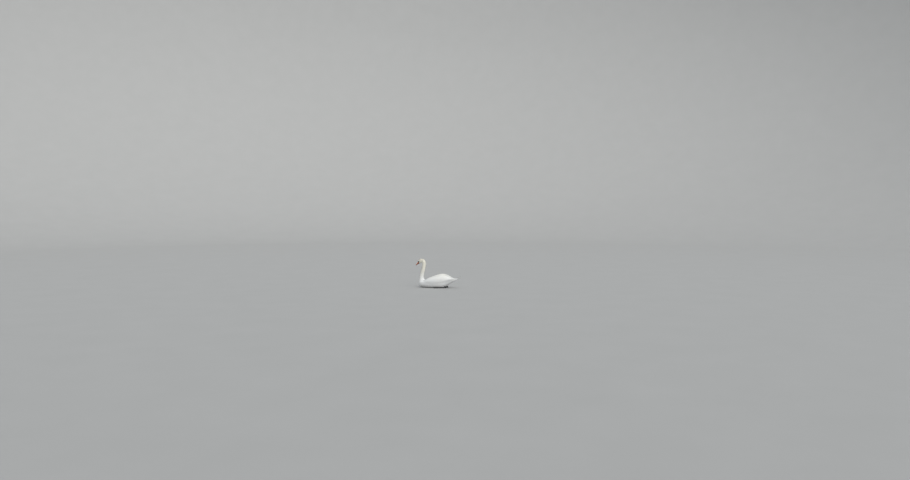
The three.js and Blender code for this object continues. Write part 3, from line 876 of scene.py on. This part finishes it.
for side, name in SIDES:
    for row_name, row in WING_ROWS.items():
        kind = "flight" if row_name in ("primaries", "secondaries", "tertials") else "coverts"
        wing_row(coat, f"{kind}_{name}", side, row)
    for row in SCAPULARS:
        wing_row(coat, f"scapulars_{name}", side, row)


# ---- Tail ----

TAIL_REACH = curve([(0, 858), (6, 857), (14, 850), (24, 838), (35, 818), (44, 790), (47, 762)])
TAIL_MIDDLE = curve([(690, 152), (724, 165), (765, 184), (805, 202), (858, 223)])
TAIL_ROOT = 700
TAIL_FEATHERS = 11  # on each side
TAIL_SPREAD = 43  # how far out the outermost one could lie
TAIL_EDGE, TAIL_DROOP = 46, 9.0  # the fan's half width, and how far it bends down there
TAIL_STACK = (4.0, 7.0)  # how high the middle feathers lie, and how much lower the outermost do
TAIL_FLATTENING = 0.55  # how much of that is gone at the tips


def tail_feathers(coat):
    rows = 17
    share = vane_rows(rows)
    stacking = 1 - TAIL_FLATTENING * share
    out = (np.arange(TAIL_FEATHERS)[:, None] + 0.5) / TAIL_FEATHERS * TAIL_SPREAD
    for side in (-1, 1):
        wobble = rng.normal(0, 1, (2, TAIL_FEATHERS, 1))
        x = side * out * 0.7 * (1 - share) + side * (out + wobble[1] * 0.5) * share
        y = between((TAIL_ROOT, TAIL_REACH(out) - 2 + wobble[0] * 1.2), share)
        z = TAIL_MIDDLE(y) - TAIL_DROOP * (x / TAIL_EDGE) ** 2
        z = z + (TAIL_STACK[0] - TAIL_STACK[1] * out / TAIL_SPREAD) * stacking
        line = place(stacked(x, y, z))
        slope = -2 * TAIL_DROOP * x / TAIL_EDGE**2 - side * TAIL_STACK[1] / TAIL_SPREAD * stacking
        normals = unit(np.cross(stacked(1.0, 0.0, slope), unit(np.gradient(line, axis=1))))
        half = 12.5 * MM * np.broadcast_to(vane_profile(rows, 0.24, 0.55), x.shape)
        places = root_places(line[:, 0], *REGIONS["coat_tail_coverts"][:2])
        coat.add("tail_feathers", line, normals, np.zeros_like(x), half, places, columns=9, fringe=0.001,
                 roll=-0.035 * side, skew=0.2 * side, draped=False)


tail_feathers(coat)
for piece, (*_, material, slot) in REGIONS.items():
    coat.build(piece, material)
for piece in sorted(set(coat.pieces) - set(REGIONS)):
    coat.build(piece, FLIGHT_VANE)


# ---- Bill ----

BILL_HALF = curve([(0, 3), (1.5, 6.2), (3, 8.5), (5, 11), (8, 13.5), (12, 15.6), (16, 16.8), (22, 17.4),
                   (28, 17.5), (36, 17.0), (45, 16.2), (52, 15.9), (60, 15.8), (72, 16.2), (86, 17.0)])
CULMEN = curve([(0, -8), (1, -4.6), (2, -2.5), (4, -0.2), (6, 1.5), (10, 3.3), (14, 4.5), (22, 6.4),
                (30, 8.0), (38, 9.8), (45, 11.5), (52, 13.3), (60, 15.5), (66, 17.2), (72, 19.0), (86, 23.5)])
BILL_EDGE = curve([(0, -10.5), (4, -9.5), (6, -8.3), (9, -7.2), (14, -6.3), (20, -6), (30, -6.1), (40, -6.5),
                   (50, -7.4), (60, -8.5), (72, -10.2), (86, -12.3)])
KEEL = curve([(5, -8.8), (14, -10.3), (30, -11.4), (50, -12.8), (86, -16.5)])
BILL_END = 85.0
NAIL = (14.0, 10.0)  # its length and half width
NOSTRIL_BACK, NOSTRIL_UP = 50.0, 0.64  # the height is a share of the bill's
NOSTRIL_RADII = (6.6, 0.115)


def smoothed(values, rounds):
    """Rounds off the corners that a piecewise linear table leaves."""
    for _ in range(rounds):
        values = np.concatenate([values[:1], (values[:-2] + 2 * values[1:-1] + values[2:]) / 4, values[-1:]])
    return values


def bill_stations(first, count):
    share = np.linspace(0, 1, count)
    return first + (BILL_END - first) * (0.55 * share + 0.45 * (1 - np.cos(math.pi * share)) / 2)


def bill_sections(half, steps):
    """x round each station's section from side to side, and the sine of the way round it."""
    angle = np.linspace(0, math.pi, steps)
    return half[:, None] * (np.sign(np.cos(angle)) * np.abs(np.cos(angle)) ** 0.8), np.sin(angle)


def closed_sections(x, up, inner_up):
    """Sections closed by an inner face at the height inner_up of each station."""
    inner_x = x[:, ::-1][:, 1:-1]
    inner_up = np.broadcast_to(inner_up[:, None], inner_x.shape)
    return np.concatenate([x, inner_x], 1), np.concatenate([up, inner_up], 1)


def upper_bill():
    """Dome with a hooked nail at its tip, a nostril on each side and a flat palate."""
    stations = bill_stations(0.0, 120)
    half, top, edge = (smoothed(table(stations), 6) for table in (BILL_HALF, CULMEN, BILL_EDGE))
    x, sine = bill_sections(half, 57)
    rise = sine**0.75
    back = stations[:, None]
    up = edge[:, None] + rise * (top - edge)[:, None]
    nail = np.sqrt((back / NAIL[0]) ** 2 + (x / NAIL[1]) ** 2)
    up = up + 0.9 * smooth_step(1.06 - nail, 0.0, 0.16) * smooth_step(rise, 0.25, 0.6)
    slant = (back - NOSTRIL_BACK) * 0.008
    nostril = np.sqrt(((back - NOSTRIL_BACK) / NOSTRIL_RADII[0]) ** 2
                      + ((rise - NOSTRIL_UP - slant) / NOSTRIL_RADII[1]) ** 2)
    hollow = smooth_step(1.2 - nostril, 0.0, 0.5)
    rim = smooth_step(1.75 - nostril, 0.0, 0.4) * (1 - hollow)
    x = x - np.sign(x) * 1.5 * hollow
    up = up - 0.7 * hollow + 0.3 * rim
    black = np.maximum.reduce(np.broadcast_arrays(
        smooth_step(1.12 - nail, 0.0, 0.2),
        smooth_step(0.15 - rise, 0.0, 0.09),
        smooth_step(1.45 - nostril, 0.0, 0.4),
        smooth_step(back - 3.0 * np.abs(rise - 0.5), 73.0, 81.0),
        smooth_step(19.0 - np.hypot(back - 88.0, (up - 22.0) * 1.1), 0.0, 3.5),
    ))
    x, up = closed_sections(x, up, edge + 1.2)
    black = np.pad(black, ((0, 0), (0, x.shape[1] - black.shape[1])), constant_values=1.0)
    points, faces = tube(place(head_point(x, back, up)))
    thing = make_object("bill_upper_fine", points, faces, BILL)
    point_values(thing, "black", [*black.ravel(), 1.0, 1.0])
    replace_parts(thing, "bill_upper")


def lower_bill():
    """The narrower lower half, tucked under the upper one."""
    stations = bill_stations(4.5, 80)
    half, edge, keel = (smoothed(table(stations), 6) for table in (BILL_HALF, BILL_EDGE, KEEL))
    edge = edge - 0.3
    x, sine = bill_sections(half * 0.86, 33)
    up = edge[:, None] + sine**0.75 * (keel - edge)[:, None]
    groove = np.exp(-((x / 2.2) ** 2)) * smooth_step(stations, 20, 40)[:, None]
    x, up = closed_sections(x, up + 0.8 * groove * sine**4, edge - 0.6)
    points, faces = tube(place(head_point(x, stations[:, None], up)))
    thing = make_object("bill_lower_fine", points, faces, KNOB_SKIN)
    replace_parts(thing, "bill_lower")


def knob():
    """The black berry at the root of the bill, a little wider low down and pebbled."""
    x, along, up = np.moveaxis(globe(40, 56), -1, 0)
    swell = 1 + 0.05 * np.sin(3 * along + 1.0) * np.cos(2 * up) + 0.08 * np.clip(-up, 0, 1)
    rings = head_point(x * swell * KNOB_RADII[0], KNOB_PLACE[0] + along * swell * KNOB_RADII[1],
                       KNOB_PLACE[1] + up * swell * KNOB_RADII[2])
    points, faces = tube(place(rings))
    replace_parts(make_object("knob", points, faces, KNOB_SKIN), "bill_knob")


def head_side(side, back, up):
    """Places and normals on the side of the head, for a grid laid over it as seen from the side."""
    start = place(head_point(side * 70.0, back.ravel(), up.ravel()))
    found = outline.cast(start, np.broadcast_to((-side, 0.0, 0.0), start.shape))
    return (answer.reshape(*back.shape, 3) for answer in found)


def lore(side, name):
    """Bare black skin from the bill's root to the eye."""
    rows, columns = 34, 26
    across = np.linspace(0, 1, columns)
    back = np.linspace(80.0, LORE_END, rows)[:, None]
    low, high = LORE_LOW(back) - 0.8, LORE_HIGH(back) + 0.8
    up = low + (high - low) * across
    spots, normals = head_side(side, np.broadcast_to(back, up.shape), up)
    rim = np.minimum(across, across[::-1])[:, None]
    sunk = -0.5 * MM - 1.6 * MM * (1 - smooth_step(rim, 0.0, 0.12))
    faces = grid_faces(rows, columns)[:, ::side].tolist()  # turned over on the right
    make_object(f"lore_{name}", (spots + normals * sunk).reshape(-1, 3), faces, KNOB_SKIN)


EYE_RADIUS, EYE_SUNK = 6.4 * MM, 4.6 * MM
EYE_EDGE = 1.9  # the angle from the middle at which the eyeball ends, inside the head
LID_REACH, LID_RADIUS = 4.8 * MM, 0.75 * MM


def eye(side, name):
    """Eyeball set in the head's side, with a dark lid round it."""
    spot, normal = (found[0] for found in head_side(side, *np.array(EYE_PLACE)[:, None]))
    out = unit(normal * (1, 1, 0.6))
    up = unit(np.array((0.0, 0.0, 1.0)) - out * out[2])
    ahead = np.cross(up, out)

    def ring(height, reach, turn):
        return (out * height[..., None] + up * (reach * np.sin(turn))[..., None]
                + ahead * (reach * np.cos(turn))[..., None])

    polar = np.linspace(0.02, EYE_EDGE, 36)[:, None]
    rings = ring(np.cos(polar), np.sin(polar), circle(48)[None, :])
    points, faces = tube(spot - out * EYE_SUNK + rings * EYE_RADIUS)
    ball = make_object(f"eyeball_{name}", points, faces, EYE)
    point_values(ball, "away", [*np.repeat(polar, 48), 0.0, 2.0])
    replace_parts(ball, f"eye_{name}")
    turn, around = circle(64)[:, None], circle(16)[None, :]
    reach = LID_REACH * (1 + 0.08 * np.cos(2 * turn)) + LID_RADIUS * np.cos(around)
    height = -0.25 * MM + LID_RADIUS * np.sin(around) + 0.3 * MM * np.clip(np.sin(turn), 0, 1)
    points = (spot + ring(height, reach, turn)).reshape(-1, 3)
    faces = (grid_faces(65, 16, closed=True) % len(points)).tolist()
    make_object(f"lid_{name}", points, faces, KNOB_SKIN)


upper_bill()
lower_bill()
knob()
for side, name in SIDES:
    lore(side, name)
    eye(side, name)


# ---- Legs and feet ----

ANKLE, KNEE_END, TOE_ROOT = (68.0, 566.0, 13.0), (60.0, 528.0, 50.0), (86.0, 472.0, 11.0)
TOES = ((112.0, 12.0, 5.6), (142.0, -6.0, 6.2), (134.0, -24.0, 5.6))  # length, turn in degrees, radius
KNUCKLES = (0.30, 0.55, 0.77)  # shares of a toe's length
CLAW = 11.0
WEB_THICKNESS = 1.8


def toe_point(turn, reach, height):
    angle = np.radians(turn)
    return stacked(TOE_ROOT[0] - np.sin(angle) * reach, TOE_ROOT[1] - np.cos(angle) * reach, height)


def resting(rings):
    """A tube pressed flat where it would pass below the floor."""
    rings[..., 2] = np.maximum(rings[..., 2], 0.0)
    return tube(rings)


def limb(centres, radii, sides=20, flatten=1.0):
    """A tube of round section along points."""
    along = unit(np.gradient(centres, axis=0))
    side = unit(np.cross((0, 0, 1.0), along))
    up = np.cross(along, side)
    turn = circle(sides)[None, :, None]
    rings = centres[:, None] + np.cos(turn) * flatten * radii[:, None, None] * side[:, None]
    return resting(rings + np.sin(turn) * radii[:, None, None] * up[:, None])


def joint(centre, radius):
    """A round joint."""
    return resting(np.array(centre) + radius * globe(16, 24))


def slab(top, bottom):
    """A closed sheet between two grids of the same size."""
    rows, columns = top.shape[:2]
    size = rows * columns
    over = grid_faces(rows, columns)
    faces = over.tolist() + (over + size)[:, ::-1].tolist()
    index = np.arange(size).reshape(rows, columns)
    rim = np.concatenate([index[0, :-1], index[:-1, -1], index[-1, :0:-1], index[:0:-1, 0]])
    for a, b in zip(rim, np.roll(rim, -1)):
        faces.append([b, a, a + size, b + size])
    return np.vstack([top.reshape(-1, 3), bottom.reshape(-1, 3)]), faces


def foot_parts():
    """The left foot in two lists: three long toes, the small hind toe and the webs, and then the claws."""
    toes, webs, claws = [], [], []
    share = np.linspace(0, 1, 46)
    for length, turn, radius in TOES:
        knuckles = sum(np.exp(-(((share - at) / 0.035) ** 2)) for at in KNUCKLES)
        height = radius * (1.35 - 0.55 * share)
        toes.append(limb(toe_point(turn, share * length, height),
                         radius * (1.35 - 0.72 * share + 0.20 * knuckles)))
        shape = np.linspace(0, 1, 14)
        reach = length + np.linspace(-3, CLAW, 14)
        claws.append(limb(toe_point(turn, reach, radius * 0.85 - 3.2 * shape**1.6),
                          radius * 0.62 * (1 - shape**1.5) + 0.25, sides=14, flatten=0.8))
    for (length_a, turn_a, _), (length_b, turn_b, _) in zip(TOES, TOES[1:]):
        along, across = np.linspace(0.04, 1, 40)[:, None], np.linspace(0, 1, 26)[None, :]
        turn = turn_a + (turn_b - turn_a) * across
        reach = (length_a + (length_b - length_a) * across - 8) - 22 * 4 * across * (1 - across)
        folds = 0.5 * np.sin(across * math.pi * 7) * along + 0.35 * np.sin(along * 34 + 5 * across)
        lift = 3.4 - 1.4 * np.sin(math.pi * across) + folds * np.sin(math.pi * across)
        webs.append(slab(toe_point(turn, reach * along, lift),
                         toe_point(turn, reach * along, np.maximum(lift - WEB_THICKNESS, 0.2))))
    share, angle = np.linspace(0, 1, 16), math.radians(62)
    hind_toe = np.array(TOE_ROOT) + stacked(-4 - math.sin(angle) * share * 26,
                                            10 - math.cos(angle) * share * 8, -6 * share)
    toes.append(limb(hind_toe, 4.3 * (1 - 0.6 * share)))
    return toes + webs, claws


def leg_parts():
    """The left leg: a flattened tarsus, a thick heel and the shin going up into the flank."""
    share = np.linspace(0, 1, 40)
    root, heel, knee = (np.array(p) for p in (TOE_ROOT, ANKLE, KNEE_END))
    bulge = np.sin(math.pi * share)
    tarsus = root + (heel - root) * share[:, None] - np.array((0, 0, 1.5)) * bulge[:, None]
    shin = heel + (knee - heel) * share[:, None]
    return [limb(tarsus, 9.6 - 2.2 * bulge + 2.2 * smooth_step(share, 0.75, 1.0), sides=24, flatten=0.88),
            limb(shin, 11.2 - 1.0 * bulge + 3.6 * share, sides=24, flatten=0.9),
            joint(ANKLE, 11.6), joint(TOE_ROOT, 10.4)]


def left_or_right(name, parts, side, material):
    """One object of parts that are laid out for the left side."""
    points, faces = merged(parts)
    if side < 0:
        points, faces = points * (-1, 1, 1), [face[::-1] for face in faces]
    return make_object(name, place(points), faces, material)


for side, name in SIDES:
    toes, claws = foot_parts()
    foot = left_or_right(f"toes_{name}", toes, side, FOOT_SKIN)
    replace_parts(foot, f"foot_{name}")
    left_or_right(f"claws_{name}", claws, side, KNOB_SKIN)
    leg = left_or_right(f"shank_{name}", leg_parts(), side, FOOT_SKIN)
    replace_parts(leg, f"leg_{name}")


# ---- Studio: pale floor curving up into a far wall, soft light, and the camera ----

CAMERA_AZIMUTH = math.radians(107)  # 90 looks along -X
CAMERA_DISTANCE = 15.4
CAMERA_HEIGHT = 1.56
FOCAL_PIXELS = 788.0
IMAGE = (910, 480)
HORIZON_ROW = 208.0
SWAN_COLUMN = 438.3  # where the middle of the bird's length stands
SENSOR = 36.0
WALL_RADIUS, WALL_HEIGHT, BEND_RADIUS = 34.0, 24.0, 14.0
SKY_TINT, SKY_STRENGTH = (0.90, 0.95, 1.0, 1.0), 0.8
# Each sun: where it comes from, its spread in degrees, strength and tint.
SUNS = {
    "key": ((0.55, 0.6, 1.0), 40, 1.35, (1.0, 0.98, 0.945)),
    "fill": ((0.82, 0.55, 0.08), 50, 1.0, (1.0, 0.995, 0.98)),
}


def stage_piece(name, profile, material, middle):
    """A round piece of the studio, turned from (radius, height) pairs; middle closes the hole inside it."""
    turn = circle(128)
    radius, height = np.array(profile).T[..., None]
    rings = stacked(radius * np.cos(turn), radius * np.sin(turn), height)
    faces = grid_faces(len(profile), len(turn), closed=True)[:, ::-1].tolist()
    if middle:
        faces.append(list(range(len(turn))))
    piece = mesh_object(name, rings.reshape(-1, 3), faces, material)
    return piece


def studio():
    """A round floor that bends up into a wall all round, far behind the bird and the camera."""
    material = floor_material()
    flat = WALL_RADIUS - BEND_RADIUS
    stage_piece("floor", [(r, 0.0) for r in np.linspace(0.5, flat, 12)], material, middle=True)
    bend = [(flat + BEND_RADIUS * math.sin(a), BEND_RADIUS - BEND_RADIUS * math.cos(a))
            for a in np.linspace(0, math.pi / 2, 24)]
    wall = stage_piece("wall", [*bend, (WALL_RADIUS, WALL_HEIGHT)], material, middle=False)
    wall.visible_shadow = False  # the low light comes in through it


def sky():
    world = bpy.data.worlds.new("studio")
    world.use_nodes = True
    background = world.node_tree.nodes["Background"].inputs
    background["Color"].default_value, background["Strength"].default_value = SKY_TINT, SKY_STRENGTH
    bpy.context.scene.world = world


def soft_sun(name, comes_from, spread, strength, tint):
    light = bpy.data.lights.new(name, "SUN")
    light.angle, light.energy, light.color = math.radians(spread), strength, tint
    add_object(name, light).rotation_euler = Vector(comes_from).to_track_quat("Z", "Y").to_euler()


def camera():
    data = bpy.data.cameras.new("camera")
    data.sensor_width = SENSOR
    data.lens = FOCAL_PIXELS / IMAGE[0] * SENSOR
    data.clip_end = 200.0
    thing = add_object("camera", data)
    away = Vector((math.sin(CAMERA_AZIMUTH), -math.cos(CAMERA_AZIMUTH), 0))
    thing.location = away * CAMERA_DISTANCE + Vector((0, 0, CAMERA_HEIGHT))
    yaw = math.atan2(IMAGE[0] / 2 - SWAN_COLUMN, FOCAL_PIXELS)
    pitch = math.atan2(IMAGE[1] / 2 - HORIZON_ROW, FOCAL_PIXELS)
    thing.rotation_euler = (math.pi / 2 - pitch, 0, CAMERA_AZIMUTH - yaw)
    bpy.context.scene.camera = thing


studio()
sky()
for name, sun in SUNS.items():
    soft_sun(name, *sun)
bpy.context.scene.view_settings.view_transform = "Standard"
camera()
